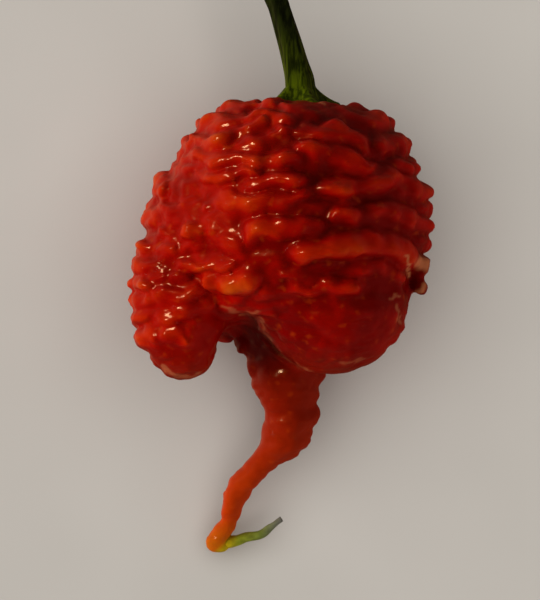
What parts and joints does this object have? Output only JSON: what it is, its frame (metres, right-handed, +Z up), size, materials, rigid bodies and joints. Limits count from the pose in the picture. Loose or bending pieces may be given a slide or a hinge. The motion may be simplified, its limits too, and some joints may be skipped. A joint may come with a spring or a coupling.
{
  "type": "hydra chili pepper",
  "caption": "Freshly picked, deeply wrinkled hot chili pepper with lobes, a long curved tail, its green stem and calyx, and a dried style, lying on its back.",
  "frame": {"origin": "middle of the flat spot on the back of the pod, on the surface it lies on, below its weight", "axes": "+Y towards the cut end of the stem, +Z up, away from the surface, out of the side seen in the picture, +X to the right of the picture"},
  "size_m": [0.043, 0.0871, 0.0362],
  "materials": {
    "pod_skin": "thin glossy waxy red fruit skin, orange along the crests of its folds and at the tip of the tail",
    "stem_green": "fresh green stem, satin, lightly ridged lengthwise",
    "dried_style": "dried plant thread, yellow-green going grey at its end, matt"
  },
  "bodies": {
    "root": {"pod": "pod_skin", "stem_and_calyx": "stem_green", "style_remnant": "dried_style"}
  },
  "joints": []
}
